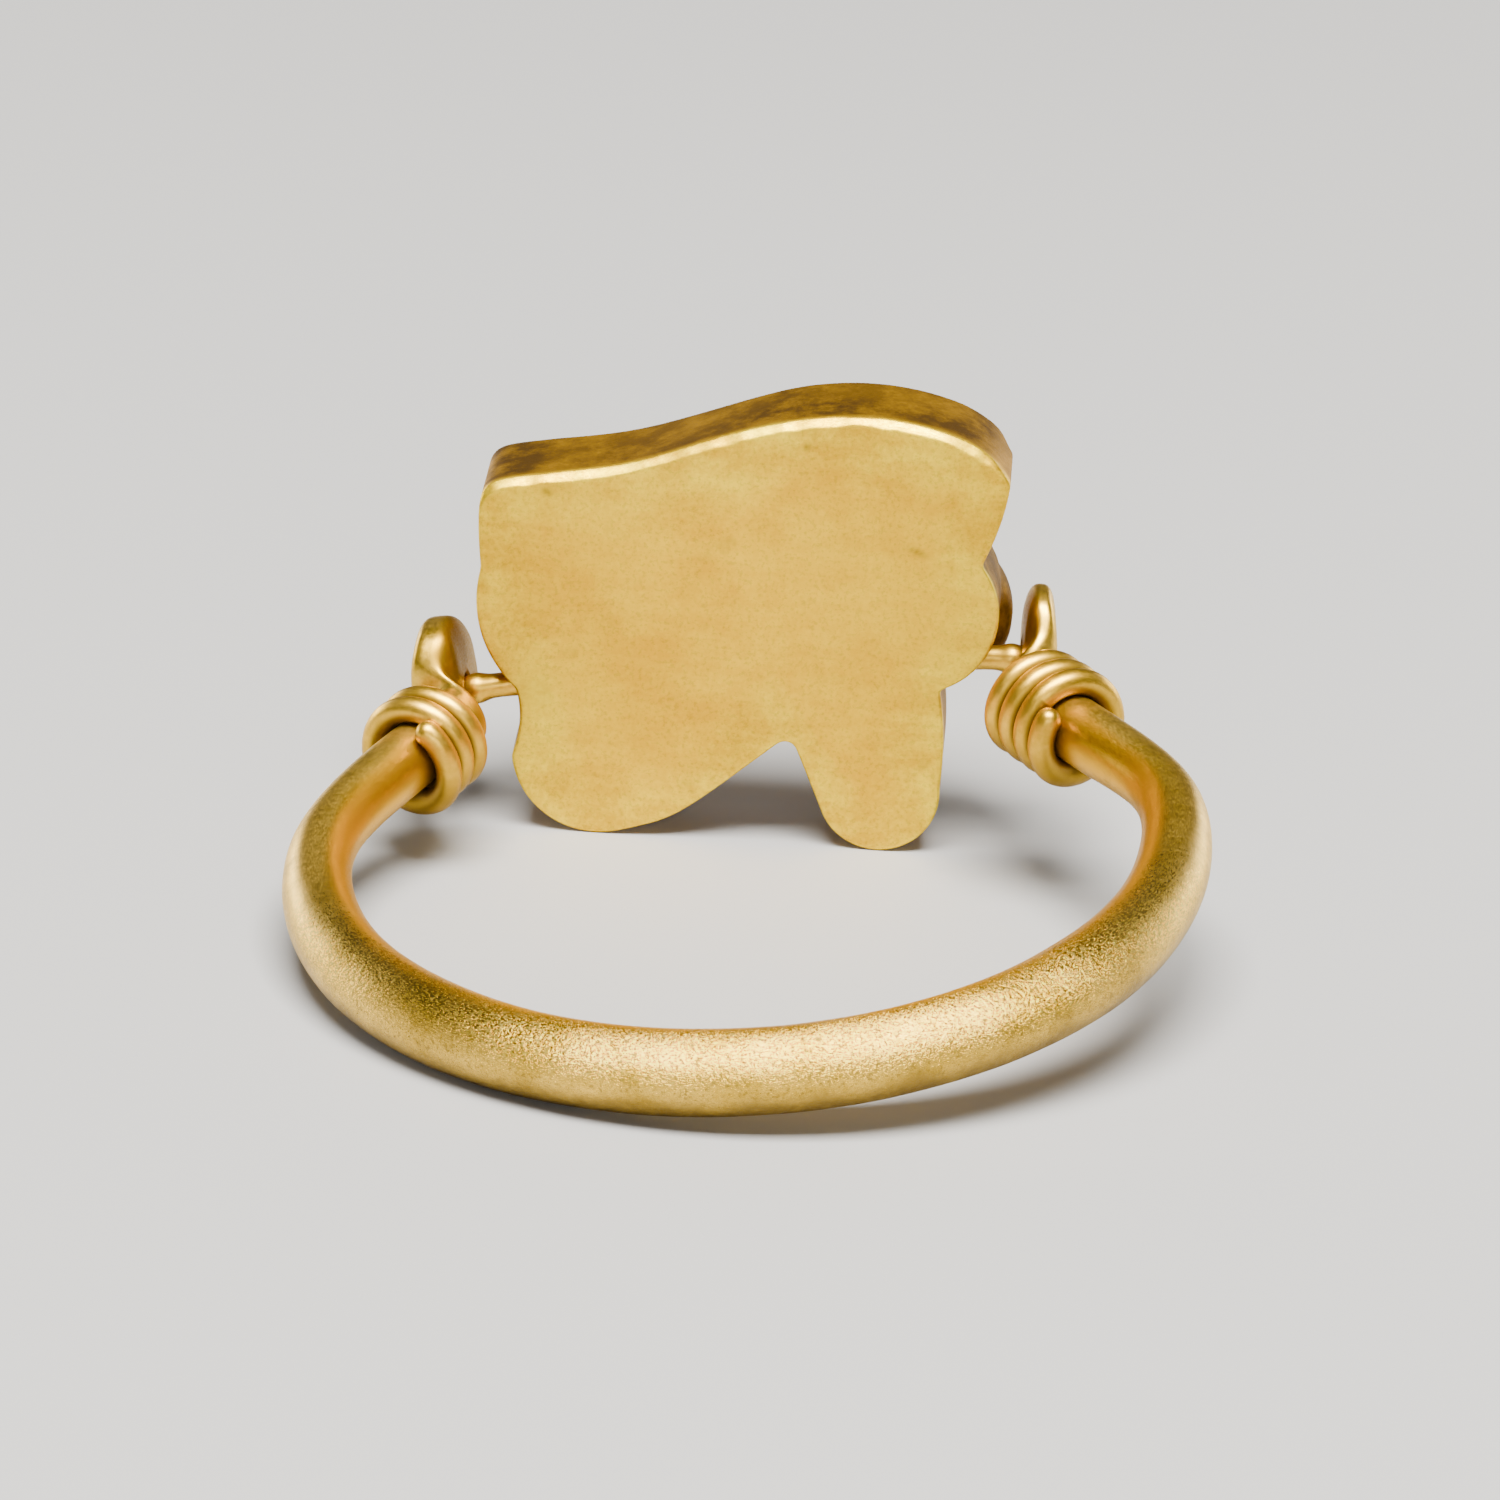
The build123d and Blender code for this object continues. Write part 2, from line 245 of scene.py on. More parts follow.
def tube_uv(at, radius, columns):
    """Pattern places on a tube, in millimetres along it and round it."""
    girth = np.linspace(0, 2 * np.pi * radius, columns + 1)
    return np.stack(np.broadcast_arrays(at[:, None], girth[None]), -1)


def on_circle(turn, radius):
    """Point of the hoop's circle, at an angle from its foot."""
    return np.array([radius * np.sin(np.radians(turn)), -radius * np.cos(np.radians(turn)), 0])


def heading(turn):
    """Direction in the plane of the hoop, at an angle from X."""
    return np.array([np.cos(np.radians(turn)), np.sin(np.radians(turn)), 0])


def neck_ends(end):
    """Lower and upper end of the right neck's middle line."""
    foot = on_circle(end.foot_deg, HOOP_RADIUS - end.foot_inset)
    return foot, foot + heading(end.neck_deg) * NECK_LENGTH


def eye_frame(end):
    """Middle of the right eye, and its directions: along its hole, along the rod and up."""
    twist, lean = np.radians(end.eye_twist_deg), np.radians(end.eye_lean_deg)
    side = np.array([np.cos(lean), 0, -np.sin(lean)])
    up = np.array([np.sin(lean), 0, np.cos(lean)])
    ahead = np.array([0, 1, 0])
    hole = side * np.cos(twist) + ahead * np.sin(twist)
    along = ahead * np.cos(twist) - side * np.sin(twist)
    return np.array([end.eye_side, PIVOT_REACH, 0]), np.stack([hole, along, up])


def in_eye(end, point):
    """Point given along the eye's hole, along the rod and up, in the hoop's frame."""
    middle, directions = eye_frame(end)
    return middle + np.array(point) @ directions


def coil_top(end):
    """Height of the coil's last turn up the neck."""
    return end.coil_start + end.coil_pitch * end.coil_turns


def rod_stations(end):
    """Stations from the foot of the hoop to the tip of the right eye.

    Each is a centre, the way the rod runs, the side of the hoop's outside, the half widths towards that side
    and across it, and the fullness of the section: 2 is an ellipse, more is squarer. Beyond its middle the
    eye is round: at an angle t its place is sin t and its half width cos t.
    """
    stations = []
    # Share of the way to the shoulder, and share of the thinning that is done there
    for way, thinned in ((0, 0), (0.16, 0), (0.32, 0), (0.48, 0), (0.65, 0.25), (0.82, 0.60), (1, 1)):
        turn = way * SHOULDER_DEG
        radius = ROD_RADIUS + thinned * (SHOULDER_RADIUS - ROD_RADIUS)
        stations.append([
            *on_circle(turn, HOOP_RADIUS), *heading(turn), *heading(turn - 90), radius, radius, 2])
    foot, top = neck_ends(end)
    for way in (0, 0.25, 0.5, 0.75, 1):
        stations.append([
            *(foot + (top - foot) * way), *heading(end.neck_deg), *heading(end.neck_deg - 90),
            NECK_RADIUS, NECK_RADIUS, 2])
    # Place and half width as shares of the eye's radius, share of its thickness, and of its squareness
    along_the_eye = [(-0.62, 0.66, 1, 0.4), (-0.31, 0.95, 1, 1)]
    towards_the_tip = [(0, 1, 1), (20, 1, 1), (40, 0.97, 0.9), (58, 0.88, 0.7), (72, 0.70, 0.5),
                       (82, 0.42, 0.3), (88, 0.16, 0.1)]
    for turn, thickness, squareness in towards_the_tip:
        angle = np.radians(turn)
        along_the_eye.append((np.sin(angle), np.cos(angle), thickness, squareness))
    _, directions = eye_frame(end)
    for place, width, thickness, squareness in along_the_eye:
        place *= 1 + (end.tip - 1) * max(place, 0)
        stations.append([
            *in_eye(end, (0, place * EYE_RADIUS, 0)), *directions[1], *directions[0],
            thickness * end.eye_thickness / 2, width * EYE_RADIUS,
            2 + squareness * (end.eye_fullness - 2)])
    return np.array(stations)


def hoop_stations():
    """All stations of the rod, from the tip of the left eye over the foot to the tip of the right one."""
    right = rod_stations(RIGHT_END)
    left = rod_stations(LEFT_END)[:0:-1]
    left[:, 0:3] *= MIRROR
    left[:, 3:6] *= -MIRROR
    left[:, 6:9] *= MIRROR
    return np.concatenate([left, right])


def seen_from_eye(rows, end, flip):
    """Points seen from an eye (along its hole, along the rod and up), and whether they are near it."""
    middle, directions = eye_frame(end)
    local = (rows * flip - middle) @ directions.T
    return local, np.abs(local[..., 0]) < NEAR_EYE


def with_hole(rows, end, flip):
    """Rows with a hole sunk into both sides of an eye, and a low lip round it.

    Both are bell curves of the distance from the hole's middle: exp(-(d / 0.40)^6) sinks 85 parts in a
    hundred of the half thickness, and exp(-((d - 0.52) / 0.10)^2) raises 7.
    """
    local, near = seen_from_eye(rows, end, flip)
    away = np.hypot(local[..., 1], local[..., 2] + HOLE_DROP)
    sink = np.where(near, np.exp(-(away / 0.40)**6), 0)
    lip = np.where(near, np.exp(-((away - 0.52) / 0.10)**2), 0)
    local[..., 0] *= 1 - 0.85 * sink + 0.07 * lip
    middle, directions = eye_frame(end)
    return (middle + local @ directions) * flip


def hoop_shade_and_tarnish(rows, inner, painted_dark_underside):
    """Darkening from 0 to 1: painted shade under the rod and on the left eye's inner face, darkening in and
    round the holes, and tarnish and painted shade by the coils.
    """
    # Painted shade: the rod's underside is darkened, standing in for dark surroundings reflected there.
    recess = 0.82 * painted_dark_underside
    for end, flip in ENDS:
        local, near = seen_from_eye(rows, end, flip)
        away = np.hypot(local[..., 1], local[..., 2] + HOLE_DROP)
        round_hole = near * np.exp(-(away / 0.62)**4)
        # Painted shade on the inner face of the left eye.
        painted_shade_inside_eye = near * end.tarnish * inner * smooth_step(-1.6, -0.9, local[..., 1])
        spot = rows * flip - neck_ends(end)[0]
        along = spot @ heading(end.neck_deg)
        aside = spot @ heading(end.neck_deg + 90)
        turned = (COIL_END_DEG - np.degrees(np.arctan2(spot[..., 2], aside))) % 360
        first = end.coil_start + end.coil_pitch * turned / 360
        top = coil_top(end)
        # Tarnish on the neck under the coil and painted shade at the coil's mouth; below the coil the rod is
        # darker still, partly tarnish and partly painted shade.
        coiled = smooth_step(first - 0.15, first + 0.30, along) * smooth_step(top + 0.9, top + 0.2, along)
        below_coil = smooth_step(end.coil_start - 1.3, end.coil_start, along) * (along < top)
        on_neck = np.maximum((0.40 + 0.35 * end.tarnish) * coiled, 0.35 * below_coil)
        recess = np.max([recess, round_hole, painted_shade_inside_eye, on_neck * (np.abs(aside) < 1.6)], axis=0)
    return recess


def hoop_piece():
    """Rod with hammer marks and a sunk hole in each eye.

    Round each station the surface is at r (A cos t + B sin t), with A and B the two half widths and
    r = (|cos t|^n + |sin t|^n)^(-1/n), n the fullness. The way along the rod counts its place and its half
    width together, so that the rows stay even round the tip of an eye. The marks are soft noise, outwards.
    """
    stations = hoop_stations()
    knots = lengths_along(stations[:, [0, 1, 2, 10]])
    at = np.concatenate([
        np.linspace(0, FINE_WAY, 100)[:-1], np.linspace(FINE_WAY, knots[-1] - FINE_WAY, 380),
        np.linspace(knots[-1] - FINE_WAY, knots[-1], 100)[1:]])
    line = spline_through(knots, stations, at)
    centre, ahead = line[:, None, 0:3], unit(line[:, None, 3:6])
    outward = line[:, None, 6:9]
    outward = unit(outward - ahead * np.sum(outward * ahead, -1, keepdims=True))
    upward = np.cross(outward, ahead)
    half_out, half_up, fullness = line[:, None, 9:10], line[:, None, 10:11], line[:, None, 11:12]
    angle = np.linspace(0, 2 * np.pi, HOOP_COLUMNS, endpoint=False)[None, :, None]
    swell = (np.abs(np.cos(angle))**fullness + np.abs(np.sin(angle))**fullness)**(-1 / fullness)
    reach = swell * (outward * np.cos(angle) * half_out + upward * np.sin(angle) * half_up)
    rows = centre + reach
    marks = 0.014 * soft_noise(rows, 2.3, 1) + 0.006 * soft_noise(rows, 0.9, 2)
    rows = rows + unit(reach) * marks[..., None] * np.minimum(half_out / ROD_RADIUS, 1)
    # The inner side of the hoop takes the deeper inner gold, a painted reflection of the hoop's own gold
    # facing it.
    inner = smooth_step(0.10, 0.55, -np.cos(angle[..., 0]) + 0.15 * soft_noise(rows, 1.1, 3))
    height = np.sin(angle[..., 0]) * half_up[..., 0]
    # Painted shade: darker towards the underside of the rod.
    painted_dark_underside = smooth_step(0.20, -0.60, height + 0.15 * soft_noise(rows, 0.8, 4)) * (1 - inner)
    from_foot = np.degrees(np.arctan2(np.abs(rows[..., 0]), -rows[..., 1]))
    worked = smooth_step(95, 45, from_foot) * (1 - 0.7 * inner)
    for end, flip in ENDS:
        rows = with_hole(rows, end, flip)
    masks = {"recess": hoop_shade_and_tarnish(rows, inner, painted_dark_underside), "inner": inner, "worked": worked}
    return closed_surface("hoop_rod", from_hoop(rows), tube_uv(at, ROD_RADIUS, HOOP_COLUMNS), masks)


def coil_line(end):
    """Helix round the neck, from the wire's cut end up; its first turn sags away from the neck."""
    steps = np.arange(-end.tail_deg, end.coil_turns * 360 + 1, 18)
    turned = np.radians(COIL_END_DEG - steps)[:, None]
    slack = end.slack * (smooth_step(20, 110, steps) * smooth_step(280, 170, steps))[:, None]
    radius = COIL_RADIUS + slack
    climb = (end.coil_start + end.coil_pitch * steps / 360)[:, None]
    inward = heading(end.neck_deg + 90)
    return (neck_ends(end)[0] + heading(end.neck_deg) * climb + inward * radius * np.cos(turned)
            + np.array([0, 0, 1]) * radius * np.sin(turned))


def wire_side(end):
    """The wire on the right: its coil, and its corners from there through the eye to the bezel."""
    flank = end.eye_thickness / 2 + WIRE_RADIUS
    beside_rim = in_eye(end, (flank + WIRE_CLEARANCE, -EYE_RADIUS / 2, -WIRE_DIP))
    outside = in_eye(end, (flank + WIRE_CLEARANCE, 0, -WIRE_DIP))
    return coil_line(end), [beside_rim, outside, np.array([end.eye_side - flank, PIVOT_REACH, 0])]


def rounded(corners, share):
    """Each corner becomes two points, a share of the shorter run away from it on either side."""
    points = [corners[0]]
    for before, here, after in zip(corners, corners[1:], corners[2:]):
        run = min(np.linalg.norm(here - before), np.linalg.norm(after - here)) * share
        points += [here + unit(before - here) * run, here + unit(after - here) * run]
    return points + [corners[-1]]


def wire_line():
    """Way along the wire, points on its middle from the left cut end to the right one, and its length.

    It runs straight through the bezel. The rows crowd at both ends, where the half ball needs them:
    R (1 - cos t) from the end.
    """
    coil_left, lead_left = wire_side(LEFT_END)
    coil_right, lead_right = wire_side(RIGHT_END)
    lead = [coil_left[-1] * MIRROR, *[p * MIRROR for p in lead_left], *lead_right[::-1], coil_right[-1]]
    lead = rounded(lead, 0.30)
    half = len(lead) // 2
    lead = lead[:half] + [np.array([x, PIVOT_REACH, 0]) for x in (-5, 0, 5)] + lead[half:]
    control = np.concatenate([(coil_left * MIRROR)[:-1], lead, coil_right[-2::-1]])
    knots = lengths_along(control)
    cap = WIRE_RADIUS * (1 - np.cos(np.linspace(0.04, np.pi / 2, 9)))
    at = np.concatenate([
        cap, np.linspace(WIRE_RADIUS, knots[-1] - WIRE_RADIUS, 1300)[1:-1], knots[-1] - cap[::-1]])
    return at, spline_through(knots, control, at), knots[-1]


def wire_thickness(path):
    """Radius along the wire: a little more in the coils, and a low collar, a bell curve, beside each eye."""
    thick = np.full(len(path), WIRE_RADIUS)
    for end, flip in ENDS:
        spot = path * flip - neck_ends(end)[0]
        in_coil = smooth_step(2.4, 1.8, spot @ heading(end.neck_deg)) * (spot[:, 0] > -4)
        beside_eye = path[:, 0] * flip[0] - end.eye_side + end.eye_thickness / 2 + 0.28
        collar = np.exp(-(beside_eye / 0.26)**2) * (path[:, 1] > PIVOT_REACH - 0.2)
        thick += (COIL_WIRE_RADIUS - WIRE_RADIUS) * in_coil + COLLAR_HEIGHT * collar
    return thick


def wire_painted_shade(rows, path):
    """Painted shade from 0 to 1: where the coil lies on the neck, between its turns, and on its underside."""
    recess = np.zeros(rows.shape[:2])
    for end, flip in ENDS:
        foot, way = neck_ends(end)[0], heading(end.neck_deg)
        spot = rows * flip - foot
        along = spot @ way
        from_axis = np.linalg.norm(spot - along[..., None] * way, axis=-1)
        tucked = smooth_step(COIL_RADIUS + 0.10, COIL_RADIUS - 0.20, from_axis) * (np.abs(along - 1.5) < 2.6)
        climb = ((path * flip - foot) @ way)[:, None]
        beside = along - climb
        next_turn = climb + np.sign(beside) * end.coil_pitch
        top = coil_top(end)
        wound = (from_axis < COIL_RADIUS + 2 * WIRE_RADIUS) & (along > 0) & (along < top + WIRE_RADIUS)
        touching = wound & (next_turn > end.coil_start) & (next_turn < top)
        # Painted shade: on the side of each turn that lies on the neck, in the creases where turns touch, and
        # under the coil.
        on_neck = (0.55 + 0.3 * end.tarnish) * tucked
        crease = 0.75 * touching * smooth_step(0.18, 0.33, np.abs(beside))
        underside = 0.5 * wound * smooth_step(0.4, -1.0, spot[..., 2])
        recess = np.max([recess, on_neck, crease, underside], axis=0)
    return recess


def wire_piece():
    """Tube along the wire's line, with ends rounded like a half ball and slight unevenness by soft noise.

    The side that the columns start from is carried along the line without turning round it.
    """
    at, path, length = wire_line()
    ahead = unit(np.gradient(path, axis=0))
    sides = [unit(np.cross(ahead[0], np.array([0, 0, 1.0])))]
    for way in ahead[1:]:
        sides.append(unit(sides[-1] - way * np.dot(sides[-1], way)))
    side = np.array(sides)[:, None]
    angle = np.linspace(0, 2 * np.pi, WIRE_COLUMNS, endpoint=False)[None, :, None]
    from_end = np.minimum(np.minimum(at, length - at) / WIRE_RADIUS, 1)
    radius = wire_thickness(path) * np.sqrt(1 - (1 - from_end)**2)
    reach = side * np.cos(angle) + np.cross(ahead[:, None], side) * np.sin(angle)
    rows = path[:, None] + reach * radius[:, None, None]
    rows = rows + reach * (0.008 * soft_noise(rows, 1.3, 5))[..., None] * from_end[:, None, None]
    recess = wire_painted_shade(rows, path)
    # The wire's painted shade also turns it to its deeper inner gold.
    masks = {"recess": recess, "inner": 2 * recess, "worked": np.full(recess.shape, 0.12)}
    return closed_surface("pivot_wire_round", from_hoop(rows), tube_uv(at, WIRE_RADIUS, WIRE_COLUMNS), masks)


def across(share):
    """Place over the bezel's width, as a share of half of it."""
    return BEZEL_OFFSET + share * BEZEL_WIDTH / 2


def above(share):
    """Height over the bore, as a share of the brow's."""
    return share * BROW_HEIGHT


def in_spiral(share):
    """Height under the bore, as a share of the spiral's drop."""
    return -share * SPIRAL_DROP


def in_leg(share):
    """Height under the bore, as a share of the leg's drop."""
    return -share * LEG_DROP


def arc(first, middle, last):
    """Points of the circle through three points, from the first to the last.

    With the points a, b and c as complex numbers and w = (c - a) / (b - a), the middle of the circle is
    a + (b - a) (w - |w|^2) / (2 i Im w).
    """
    a, b, c = (complex(*p) for p in (first, middle, last))
    w = (c - a) / (b - a)
    centre = (b - a) * (w - abs(w)**2) / (2j * w.imag) + a
    turn_b = np.angle((b - centre) / (a - centre)) % (2 * np.pi)
    turn_c = np.angle((c - centre) / (a - centre)) % (2 * np.pi)
    turn = turn_c if turn_b < turn_c else turn_c - 2 * np.pi
    points = centre + (a - centre) * np.exp(1j * np.linspace(0, turn, 60))
    return np.stack([points.real, points.imag], 1)


def curve(*points):
    """Points of the natural spline through the given ones."""
    points = np.array(points)
    knots = lengths_along(points)
    return spline_through(knots, points, np.linspace(0, knots[-1], 40 * len(points)))


def bezel_outline(columns):
    """Evenly spaced points round the bezel, with its notches and corners slightly softened."""
    apex_right = (across(0.160), in_leg(0.375))
    leg_inner = (across(0.240), in_leg(0.740))
    leg_outer = (across(0.688), in_leg(0.640))
    leg_notch = (across(0.705), in_leg(0.062))
    brow_notch = (across(0.880), above(0.430))
    brow_inner_end = (across(1.000), above(0.735))
    brow_outer_end = (across(-0.960), above(0.800))
    side_notch = (across(-0.974), above(0.478))
    spiral_notch = (across(-0.870), above(0.012))
    spiral_side = (across(-0.902), in_spiral(0.440))
    spiral_low = (across(-0.490), in_spiral(0.985))
    apex_left = (across(0.085), in_spiral(0.424))
    stretches = [
        np.linspace(apex_right, leg_inner, 40),
        arc(leg_inner, (across(0.438), in_leg(1.0)), leg_outer),
        arc(leg_outer, (across(0.712), in_leg(0.320)), leg_notch),
        arc(leg_notch, (across(0.925), above(0.170)), brow_notch),
        arc(brow_notch, (across(0.958), above(0.590)), brow_inner_end),
        curve(brow_inner_end, (across(0.940), above(0.823)), (across(0.765), above(0.930)),
              (across(0.438), above(1.0)), (across(0.132), above(0.981)), (across(-0.163), above(0.913)),
              (across(-0.400), above(0.853)), (across(-0.665), above(0.825)), brow_outer_end),
        arc(brow_outer_end, (across(-0.972), above(0.680)), side_notch),
        arc(side_notch, (across(-0.998), above(0.290)), spiral_notch),
        arc(spiral_notch, (across(-0.862), in_spiral(0.140)), spiral_side),
        arc(spiral_side, (across(-0.772), in_spiral(0.890)), spiral_low),
        curve(spiral_low, (across(-0.360), in_spiral(0.930)), (across(-0.145), in_spiral(0.715)), apex_left),
        arc(apex_left, (across(0.130), in_spiral(0.400)), apex_right),
    ]
    points = np.concatenate([s[:-1] for s in stretches])
    closed = np.concatenate([points, points[:1]])
    way = lengths_along(closed)
    at = np.linspace(0, way[-1], columns, endpoint=False)
    even = np.stack([np.interp(at, way, closed[:, n]) for n in (0, 1)], 1)
    rounding = np.exp(-(np.linalg.norm(even - brow_outer_end, axis=1, keepdims=True) / 1.3)**4)
    sharp, blunt = (softened(even, spread * columns / way[-1]) for spread in (0.09, 0.45))
    return sharp + (blunt - sharp) * rounding, way[-1]


def softened(loop, spread):
    """The closed line with each point averaged with its neighbours, by a bell curve this many points wide."""
    steps = np.fft.fftfreq(len(loop)) * len(loop)
    bell = np.exp(-0.5 * (steps / spread)**2)
    bell /= bell.sum()
    return np.real(np.fft.ifft(np.fft.fft(loop, axis=0) * np.fft.fft(bell)[:, None], axis=0))


def distance_to(points, line):
    """Distance of each point to a line of straight runs."""
    nearest = np.full(points.shape[:-1], np.inf)
    for a, b in zip(line, line[1:]):
        run = b - a
        t = np.clip((points - a) @ run / (run @ run), 0, 1)
        nearest = np.minimum(nearest, np.linalg.norm(points - a - t[..., None] * run, axis=-1))
    return nearest


def ridge(points, line, half_width, edge):
    """Height from 0 to 1: a rounded band along a line, with soft flanks."""
    away = distance_to(points, line)
    crown = np.sqrt(np.clip(1 - (away / (half_width + edge))**2, 0, 1))
    return smooth_step(half_width + edge, half_width - edge, away) * (0.80 + 0.20 * crown)


def face_relief(points):
    """Height of the raised eye over the plate, at points seen from the flat back."""
    brow = curve(
        (across(-1.030), above(0.735)), (across(-0.400), above(0.745)), (across(0.132), above(0.870)),
        (across(0.438), above(0.915)), (across(0.740), above(0.840)), (across(0.890), above(0.730)))
    upper_lid = curve(
        (across(-0.860), above(0.300)), (across(-0.450), above(0.400)), (across(0.100), above(0.600)),
        (across(0.450), above(0.560)), (across(0.850), above(0.230)))
    lower_lid = curve(
        (across(-0.420), above(0.300)), (across(-0.100), above(0.140)), (across(0.250), above(0.080)),
        (across(0.600), above(0.110)), (across(0.850), above(0.230)))
    cheek_mark = np.array([(across(0.480), above(0.080)), (across(0.450), in_leg(0.780))])
    curl = curve(
        (across(0.150), above(0.060)), (across(-0.150), in_spiral(0.400)), (across(-0.480), in_spiral(0.780)),
        (across(-0.760), in_spiral(0.600)), (across(-0.700), in_spiral(0.150)),
        (across(-0.480), in_spiral(0.200)))
    forms = [
        ridge(points, brow[::6], 0.82, 0.12), ridge(points, upper_lid[::6], 0.275, 0.10),
        ridge(points, lower_lid[::6], 0.275, 0.10), ridge(points, cheek_mark, 0.575, 0.12),
        ridge(points, curl[::6], 0.475, 0.12)]
    from_pupil = np.linalg.norm(points - (across(0.170), above(0.345)), axis=-1)
    dome = np.sqrt(np.clip(1 - (from_pupil / PUPIL_RADIUS)**2, 0, 1))
    forms.append(smooth_step(PUPIL_RADIUS, PUPIL_RADIUS - 0.25, from_pupil) * (0.75 + 0.25 * dome))
    return RELIEF_HEIGHT * np.max(forms, axis=0)


def bezel_rings(outline, girth):
    """Rings of points over the plate, their depths, whether they lie on its back, side or face, and outwards.

    They run from the middle of the back over its edge and the wall to the middle of the face. The back's
    edge is a quarter turn, inset R (1 - sin t) and depth R (1 - cos t), which passes into a plain bevel
    along the brow.
    """
    inner = softened(outline, 0.9 * BEZEL_COLUMNS / girth)
    tangent = unit(np.roll(inner, -1, axis=0) - np.roll(inner, 1, axis=0))
    outward = np.stack([tangent[:, 1], -tangent[:, 0]], 1)
    inner = softened(inner - outward * 0.9, 0.5 * BEZEL_COLUMNS / girth)
    middle = np.array([0.5, 1.5])
    step = unit(inner - outline)
    room = np.linalg.norm(inner - outline, axis=1)[:, None]
    up_side = smooth_step(0.25, 0.75, outward[:, 1]) * smooth_step(4.6, 5.4, outline[:, 1])
    place = np.c_[outline, outline[:, 0] * 0]
    dents = 0.5 * soft_noise(place, 0.9, 9) + 0.5 * soft_noise(place, 0.38, 10)
    back_round = 0.09 + 0.12 * up_side + (0.02 + 0.05 * up_side) * dents
    straight = 0.75 * up_side
    rings, depths, kinds = [], [], []

    def add(ring, depth, kind):
        rings.append(ring)
        depths.append(np.broadcast_to(depth, BEZEL_COLUMNS))
        kinds.append(kind)

    for s in np.linspace(0.01, 1, 41)[:-1]:
        add(middle + (inner - middle) * s, BACK, ON_BACK)
    for s in np.linspace(1, 0, 12)[:-1]:
        add(outline + step * (back_round[:, None] + (room - back_round[:, None]) * s), BACK, ON_BACK)
    for turn in np.linspace(0, np.pi / 2, 9):
        share = turn / (np.pi / 2)
        inset = back_round * ((1 - np.sin(turn)) * (1 - straight) + (1 - share) * straight)
        sunk = back_round * ((1 - np.cos(turn)) * (1 - straight) + share * straight)
        add(outline + step * inset[:, None], BACK + sunk, ON_SIDE)
    for s in np.linspace(0, 1, 16)[1:-1]:
        add(outline, (BACK + back_round) * (1 - s) + (FACE - FRONT_ROUND) * s, ON_SIDE)
    for turn in np.linspace(0, np.pi / 2, 6):
        inset, left = 1 - np.cos(turn), 1 - np.sin(turn)
        add(outline + step * FRONT_ROUND * inset, FACE - FRONT_ROUND * left, ON_SIDE)
    for s in np.linspace(0, 1, 14)[1:]:
        add(outline + step * (FRONT_ROUND + (room - FRONT_ROUND) * s), FACE, ON_FACE)
    for s in np.linspace(1, 0.01, 76)[1:]:
        add(middle + (inner - middle) * s, FACE, ON_FACE)
    return np.array(rings), np.array(depths), np.array(kinds)[:, None], outward


def with_swelling(rows):
    """Rows with the rounded swelling by the inner corner of the eye.

    What lies inside an ellipsoid moves out to its skin, along rays from a root below its middle.
    """
    middle = np.array([across(0.800), FACE, above(0.145)])
    size = np.array([1.25, 1.15, 1.75])
    root = middle - (0, 0.6, 0)
    inside = np.linalg.norm((rows - middle) / size, axis=-1, keepdims=True) < 1
    away = unit(rows - root)
    run, sunk = away / size, (root - middle) / size
    a, b = np.sum(run * run, -1, keepdims=True), np.sum(run * sunk, -1, keepdims=True)
    reach = (np.sqrt(b * b - a * (sunk @ sunk - 1)) - b) / a
    return np.where(inside, root + away * reach, rows)


def bezel_shade_and_tarnish(rows, flat, depth, kind, relief, on_brow):
    """Darkening from 0 to 1: round the raised forms, painted shade by the swelling, a painted dark reflection
    on the wall, and three small marks.
    """
    low_ground = 0.8 * (1 - smooth_step(0.0, 0.55, relief / RELIEF_HEIGHT))
    low_ground = np.where(kind == ON_FACE, low_ground, 0)
    # Painted shade on the swelling by the inner corner of the eye.
    painted_shade_by_swelling = smooth_step(5.2, 5.9, rows[..., 0]) * smooth_step(-0.2, 0.6, flat[..., 1])
    painted_shade_by_swelling *= smooth_step(4.3, 3.7, flat[..., 1]) * smooth_step(BACK + 0.02, BACK + 0.14, rows[..., 1])
    # Painted dark reflection on the wall, deeper along the brow.
    painted_dark_wall = 0.72 + 0.25 * on_brow + 0.1 * soft_noise(rows, 1.4, 14)
    painted_dark_wall = np.where(kind == ON_SIDE, painted_dark_wall * smooth_step(BACK + 0.18, BACK + 0.45, depth), 0)
    recess = np.max([low_ground, 0.95 * painted_shade_by_swelling, painted_dark_wall], axis=0)
    for x, z, size, slant in ((4.90, 3.61, 0.15, 1.2), (2.13, 6.60, 0.10, 0.0), (-4.79, 5.57, 0.12, 0.5)):
        off = flat - (x, z)
        off[..., 0] += slant * off[..., 1]
        mark = 0.6 * np.exp(-(np.linalg.norm(off, axis=-1) / size)**2)
        recess = np.maximum(recess, np.where(kind == ON_BACK, mark, 0))
    return recess


